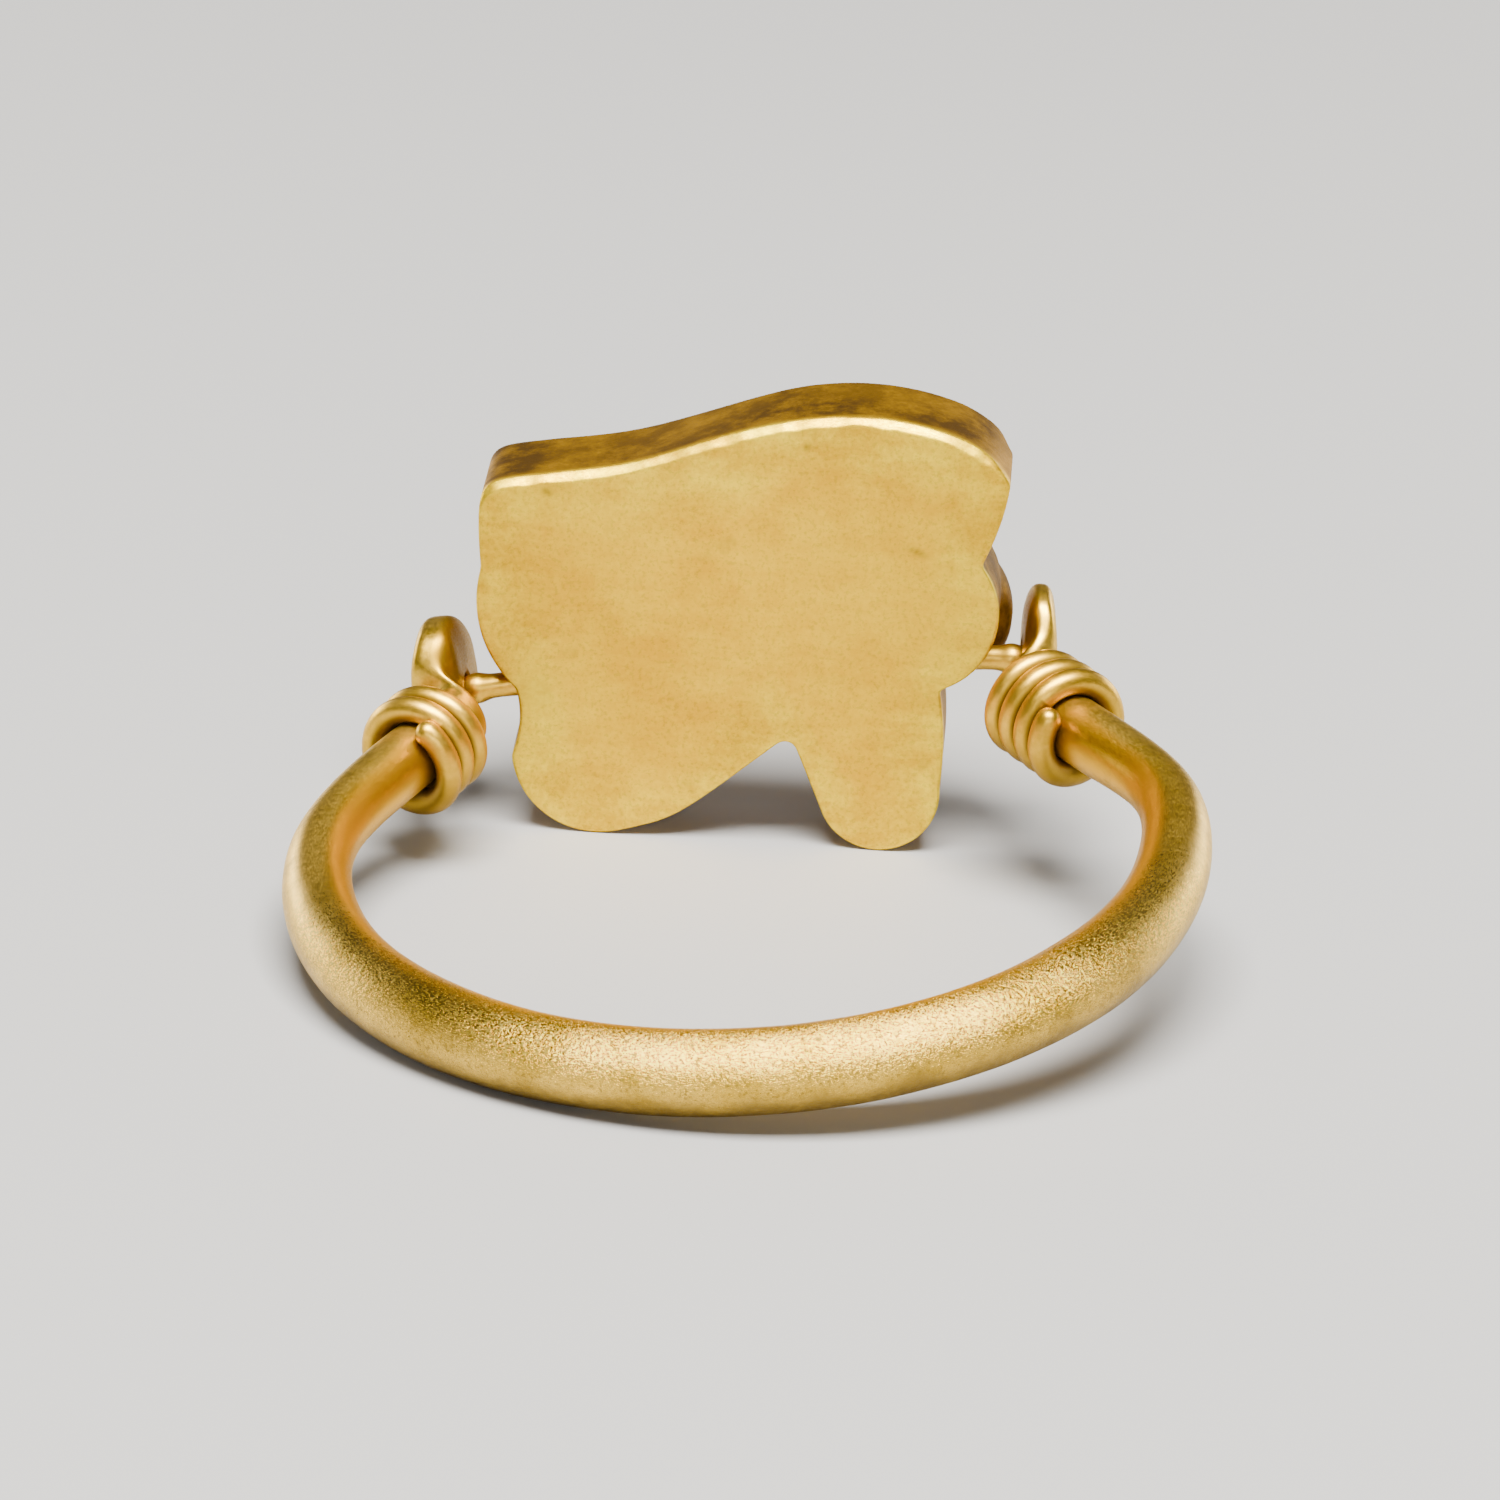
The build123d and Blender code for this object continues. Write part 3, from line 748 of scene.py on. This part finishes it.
def bezel_piece():
    """Plate with its raised eye, its swelling, a dip at each end of the bore and a slight waviness."""
    outline, girth = bezel_outline(BEZEL_COLUMNS)
    flat, depth, kind, outward = bezel_rings(outline, girth)
    relief = face_relief(flat)
    on_wall = np.where(kind == ON_SIDE, relief * smooth_step(BACK + 0.8, FACE, depth), 0)
    height = np.where(kind == ON_FACE, relief, on_wall)
    rows = with_swelling(np.stack([flat[..., 0], depth + height, flat[..., 1]], -1))
    bore = bezel_directions() @ HOOP_X
    from_bore = np.linalg.norm(rows - (rows @ bore)[..., None] * bore, axis=-1)
    beside = np.abs(rows[..., 0]) > 5.0
    rows[..., 0] *= 1 - 0.18 * np.where(beside, np.exp(-(from_bore / 0.42)**6), 0)
    round_bore = np.where(beside, np.exp(-(from_bore / 0.75)**4), 0)
    wave = 0.012 * soft_noise(rows, 2.6, 11) + 0.004 * soft_noise(rows, 0.8, 12)
    rows[..., 1] += wave * np.where(kind == ON_BACK, 1, 0.5)
    # The brow, where the wall's painted dark reflection is deepest.
    on_brow = smooth_step(0.45, 0.8, outward[:, 1]) * smooth_step(4.2, 5.0, outline[:, 1])
    recess = np.maximum(round_bore, bezel_shade_and_tarnish(rows, flat, depth, kind, relief, on_brow))
    from_rim = np.linalg.norm(flat - outline, axis=-1)
    back_tone = 0.40 * smooth_step(0.2, 2.2, from_rim + 0.9 * soft_noise(rows, 1.9, 13))
    side_tone = smooth_step(BACK + 0.15, BACK + 0.5, depth)
    inner = np.where(kind == ON_BACK, back_tone, np.where(kind == ON_SIDE, side_tone, 1))
    wide = np.concatenate([flat, flat[:, :1]], 1)
    deep = np.concatenate([depth, depth[:, :1]], 1)
    round_edge = np.linspace(0, girth, BEZEL_COLUMNS + 1)
    wall = np.stack(np.broadcast_arrays(round_edge[None], deep), -1)
    uv = np.where(kind[..., None] == ON_SIDE, wall, wide)
    masks = {"recess": recess, "inner": inner, "worked": np.ones(recess.shape)}
    return closed_surface("bezel_plate", from_bezel(rows), uv, masks)


def group(name, inputs, outputs):
    """Empty shader node group with named sockets, given by their kind, and its two end nodes."""
    tree = bpy.data.node_groups.new(name, "ShaderNodeTree")
    for side, sockets in (("INPUT", inputs), ("OUTPUT", outputs)):
        for kind, labels in sockets.items():
            for label in labels:
                tree.interface.new_socket(label, in_out=side, socket_type="NodeSocket" + kind)
    return tree, tree.nodes.new("NodeGroupInput"), tree.nodes.new("NodeGroupOutput")


def add_node(tree, kind, links=(), **settings):
    """Node with its settings made, and its inputs linked or given a number."""
    node = tree.nodes.new(kind)
    for key, value in settings.items():
        setattr(node, key, value)
    for socket, source in dict(links).items():
        if isinstance(source, bpy.types.NodeSocket):
            tree.links.new(source, node.inputs[socket])
        else:
            node.inputs[socket].default_value = source
    return node


def math_node(tree, operation, a, b, clamp=False):
    """Result of one sum on two numbers or sockets."""
    return add_node(tree, "ShaderNodeMath", {0: a, 1: b}, operation=operation, use_clamp=clamp).outputs[0]


def noise(tree, vector, scale, detail, roughness):
    """Noise from 0 to 1, with its scale per unit of the vector."""
    links = {"Vector": vector, "Scale": scale, "Detail": detail, "Roughness": roughness}
    return add_node(tree, "ShaderNodeTexNoise", links).outputs["Fac"]


def remap(tree, value, low, high, to_low=0.0, to_high=1.0):
    """Smooth step from to_low where the value is low, to to_high where it is high."""
    links = {"Value": value, "From Min": low, "From Max": high, "To Min": to_low, "To Max": to_high}
    return add_node(tree, "ShaderNodeMapRange", links, interpolation_type="SMOOTHSTEP").outputs["Result"]


def blend_colour(tree, share, a, b):
    """Colour a where the share is 0, b where it is 1."""
    return add_node(tree, "ShaderNodeMix", {0: share, 6: a, 7: b}, data_type="RGBA").outputs[2]


def tone_group():
    """Gold that runs from pale to deep in soft clouds, with the deeper inner gold where the inside mask is,
    and a dark colour for the tarnish and painted shade of the recess mask and for a few stains.

    The clouds are about 2.4 mm across, the grain 0.15 mm, and the streaks 2 mm long and 0.3 mm wide.
    """
    tree, start, end = group("gold_tone", {
        "Vector": ["Vector"], "Color": ["Pale", "Deep", "Inner", "Tarnish"],
        "Float": ["Inside", "Recess", "Stains"]}, {"Color": ["Color"], "Float": ["Tarnished"]})
    given = start.outputs
    clouds = noise(tree, given["Vector"], 420.0, 5.0, 0.62)
    grain = noise(tree, given["Vector"], 6500.0, 3.0, 0.6)
    long_way = {"Vector": given["Vector"], "Scale": (500.0, 3000.0, 3000.0)}
    streaks = noise(tree, add_node(tree, "ShaderNodeMapping", long_way).outputs[0], 1.0, 3.0, 0.6)
    share = math_node(tree, "ADD", remap(tree, clouds, 0.38, 0.62, 0.0, 0.55),
                      math_node(tree, "ADD", remap(tree, grain, 0.35, 0.65, 0.0, 0.30),
                                remap(tree, streaks, 0.35, 0.65, 0.0, 0.25)), clamp=True)
    gold = blend_colour(tree, share, given["Pale"], given["Deep"])
    gold = blend_colour(tree, given["Inside"], gold, given["Inner"])
    stain = noise(tree, given["Vector"], 900.0, 6.0, 0.7)
    stained = math_node(tree, "MULTIPLY", remap(tree, stain, 0.58, 0.78), given["Stains"])
    broken = math_node(tree, "MULTIPLY", given["Recess"], remap(tree, stain, 0.25, 0.62, 0.65, 1.0))
    # Stains, and the tarnish and painted shade of the recess mask broken up by noise, darken the gold.
    darkened = math_node(tree, "MAXIMUM", stained, broken, clamp=True)
    tree.links.new(blend_colour(tree, darkened, gold, given["Tarnish"]), end.inputs["Color"])
    tree.links.new(darkened, end.inputs["Tarnished"])
    return tree


def scratch_group():
    """Short strokes in two crossing directions over a fine grain, and scattered pits.

    The grain is about 0.09 mm across, the strokes a sixth of a millimetre long and a thirtieth wide, and one
    cell of 0.6 mm in six has a pit.
    """
    tree, start, end = group("worked_surface", {
        "Vector": ["Surface", "Vector", "First Turn", "Second Turn"], "Float": ["Grain", "Pits", "Worn"]},
        {"Float": ["Height", "Dullness", "Pitted"]})
    given = start.outputs
    strokes = []
    for turn, length, width in (("First Turn", 6.0, 32.0), ("Second Turn", 8.0, 38.0)):
        slanted = {"Vector": given["Surface"], "Rotation": given[turn], "Scale": (length, width, 1.0)}
        turned = add_node(tree, "ShaderNodeMapping", slanted).outputs[0]
        strokes.append(noise(tree, turned, 1.0, 3.0, 0.65))
    lines = math_node(tree, "ADD", remap(tree, strokes[0], 0.35, 0.70, 0.0, 0.5),
                      remap(tree, strokes[1], 0.40, 0.70, 0.0, 0.5))
    fine = noise(tree, given["Vector"], 11000.0, 2.0, 0.6)
    cells = add_node(tree, "ShaderNodeTexVoronoi", {
        "Vector": given["Vector"], "Scale": 1700.0, "Randomness": 1.0})
    chosen = add_node(tree, "ShaderNodeSeparateColor", {"Color": cells.outputs["Color"]}).outputs[0]
    pit = math_node(tree, "MULTIPLY", remap(tree, cells.outputs["Distance"], 0.20, 0.05),
                    math_node(tree, "GREATER_THAN", chosen, 0.84))
    rise = math_node(tree, "ADD", math_node(tree, "MULTIPLY", lines, 0.5),
                     math_node(tree, "MULTIPLY", fine, given["Grain"]))
    rise = math_node(tree, "SUBTRACT", rise, math_node(tree, "MULTIPLY", pit, given["Pits"]))
    tree.links.new(math_node(tree, "MULTIPLY", rise, given["Worn"]), end.inputs["Height"])
    speckles = remap(tree, noise(tree, given["Vector"], 10000.0, 3.0, 0.6), 0.50, 0.66)
    speckled = math_node(tree, "MULTIPLY", math_node(tree, "MAXIMUM", pit, speckles), given["Pits"])
    tree.links.new(math_node(tree, "MULTIPLY", speckled, given["Worn"]), end.inputs["Pitted"])
    half_fine = math_node(tree, "MULTIPLY", fine, 0.5)
    dull = math_node(tree, "ADD", math_node(tree, "MULTIPLY", lines, 0.5), half_fine)
    tree.links.new(dull, end.inputs["Dullness"])
    return tree


def gold_material(name, tone, worked, pale, deep, inner, tarnish, stains, gloss, relief, turns, grain, pits):
    """Gold: colour from the tone group, strokes, grain and pits from the worked-surface group.

    gloss is the roughness where its marks are faintest and where they are strongest, relief the height of
    the marks in metres, and turns are the slants of the two sets of strokes.
    """
    material = bpy.data.materials.new(name)
    material.use_nodes = True
    tree = material.node_tree
    tree.nodes.clear()
    place = add_node(tree, "ShaderNodeTexCoord").outputs["Object"]
    surface = add_node(tree, "ShaderNodeUVMap", uv_map="surface").outputs[0]
    # The recess attribute holds tarnish and painted shade; the inner attribute holds the deeper gold, which
    # on the hoop paints a reflection on its inner side and on the wire deepens its painted shade.
    recess = add_node(tree, "ShaderNodeAttribute", attribute_name="recess").outputs["Fac"]
    inside = add_node(tree, "ShaderNodeAttribute", attribute_name="inner").outputs["Fac"]
    worn = add_node(tree, "ShaderNodeAttribute", attribute_name="worked").outputs["Fac"]
    colour = add_node(tree, "ShaderNodeGroup", node_tree=tone)
    for socket, value in {"Pale": pale, "Deep": deep, "Inner": inner, "Tarnish": tarnish}.items():
        colour.inputs[socket].default_value = (*value, 1)
    colour.inputs["Stains"].default_value = stains
    work = add_node(tree, "ShaderNodeGroup", node_tree=worked)
    for socket, source in {"Surface": surface, "Vector": place, "Worn": worn}.items():
        tree.links.new(source, work.inputs[socket])
    for socket, value in {"Grain": grain, "Pits": pits}.items():
        work.inputs[socket].default_value = value
    for socket, turn in zip(("First Turn", "Second Turn"), turns):
        work.inputs[socket].default_value = (0, 0, turn)
    dark = math_node(tree, "MAXIMUM", recess, work.outputs["Pitted"])
    for socket, source in {"Vector": place, "Recess": dark, "Inside": inside}.items():
        tree.links.new(source, colour.inputs[socket])
    rough = remap(tree, work.outputs["Dullness"], 0.2, 0.8, gloss[0], gloss[1])
    rough = math_node(tree, "ADD", rough, remap(tree, worn, 1.0, 0.0, 0.0, 0.15))
    rough = math_node(tree, "ADD", rough, math_node(tree, "MULTIPLY", colour.outputs["Tarnished"], 0.22))
    bump = add_node(tree, "ShaderNodeBump", {
        "Height": work.outputs["Height"], "Strength": 1.0, "Distance": relief})
    shader = add_node(tree, "ShaderNodeBsdfPrincipled", {
        "Base Color": colour.outputs["Color"], "Metallic": 1.0, "Roughness": rough,
        "Normal": bump.outputs[0]})
    add_node(tree, "ShaderNodeOutputMaterial", {"Surface": shader.outputs[0]})
    return material


def floor_piece():
    """Large level floor, pale and matt."""
    mesh = bpy.data.meshes.new("floor")
    half = 0.6
    corners = [(-half, -half, 0), (half, -half, 0), (half, half, 0), (-half, half, 0)]
    mesh.from_pydata(corners, [], [(0, 1, 2, 3)])
    piece = bpy.data.objects.new("floor", mesh)
    bpy.context.collection.objects.link(piece)
    material = bpy.data.materials.new("pale_floor")
    material.use_nodes = True
    shader = material.node_tree.nodes["Principled BSDF"]
    shader.inputs["Base Color"].default_value = (0.37, 0.365, 0.355, 1)
    shader.inputs["Roughness"].default_value = 0.65
    mesh.materials.append(material)
    return piece


def softbox(name, place, target, size, power, colour=(1, 1, 1)):
    """Flat lamp at a place, facing the target; size in metres, power in watts."""
    light = bpy.data.lights.new(name, "AREA")
    light.shape = "RECTANGLE"
    light.size, light.size_y = size
    light.energy = power
    light.color = colour
    lamp = bpy.data.objects.new(name, light)
    lamp.location = place
    lamp.rotation_euler = (Vector(target) - Vector(place)).to_track_quat("-Z", "Y").to_euler()
    bpy.context.collection.objects.link(lamp)


hoop = hoop_piece()
wire = wire_piece()
bezel = bezel_piece()
tone, worked = tone_group(), scratch_group()
# The dark colours paint tarnish and painted shade alike; the inner golds paint a reflection on the hoop's
# inner side and deepen the wire's painted shade.
hoop.data.materials.append(gold_material(
    "hoop_gold", tone, worked, pale=(0.98, 0.62, 0.08), deep=(0.58, 0.35, 0.02), inner=(0.66, 0.36, 0.004),
    tarnish=(0.09, 0.052, 0.012), stains=0.35, gloss=(0.15, 0.33), relief=0.000019, turns=(1.0, -0.8),
    grain=1.0, pits=0.6))
wire.data.materials.append(gold_material(
    "wire_gold", tone, worked, pale=(0.90, 0.54, 0.05), deep=(0.64, 0.37, 0.02), inner=(0.52, 0.30, 0.01),
    tarnish=(0.06, 0.034, 0.012), stains=0.15, gloss=(0.18, 0.30), relief=0.000010, turns=(0.2, -0.3),
    grain=0.4, pits=0.2))
bezel.data.materials.append(gold_material(
    "bezel_gold", tone, worked, pale=(1.0, 0.74, 0.015), deep=(0.70, 0.41, 0.0), inner=(0.84, 0.43, 0.0),
    tarnish=(0.085, 0.042, 0.006), stains=0.25, gloss=(0.40, 0.56), relief=0.000004, turns=(0.05, -0.12),
    grain=0.5, pits=0.2))

for piece, node, body, slot in (
        (hoop, "hoop", "hoop", "gold_hoop"),
        (wire, "pivot_wire", "hoop", "gold_wire"),
        (bezel, "bezel", "bezel", "gold_bezel")):
    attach(piece, body)
    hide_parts(node)

floor_piece()

world = bpy.data.worlds.new("studio")
world.use_nodes = True
world.node_tree.nodes["Background"].inputs["Color"].default_value = (0.80, 0.82, 0.85, 1)
world.node_tree.nodes["Background"].inputs["Strength"].default_value = 0.10
bpy.context.scene.world = world

softbox("key_light", (0.01, -0.11, 0.37), (0, 0, 0.004), (0.28, 0.18), 7.6, (1.0, 0.98, 0.95))
softbox("left_light", (-0.28, 0.235, 0.055), (0, 0, 0.006), (0.30, 0.09), 0.7)
softbox("right_light", (0.28, 0.235, 0.055), (0, 0, 0.006), (0.30, 0.09), 0.55)
softbox("front_light", (0.02, -0.42, 0.13), (0, 0, 0.006), (0.40, 0.10), 0.7)

# The photograph's own view of the ring, fitted to the two edges of the hoop
camera = bpy.data.objects.new("camera", bpy.data.cameras.new("camera"))
camera.data.lens = 206.06
camera.data.sensor_width = 36
camera.data.clip_start = 0.01
camera_turn = Euler(np.radians((70.0280, -2.7576, -0.4200)))
camera.matrix_world = Matrix.LocRotScale(Vector((-0.0051565, -0.2062112, 0.0805943)), camera_turn, None)
bpy.context.collection.objects.link(camera)
bpy.context.scene.camera = camera
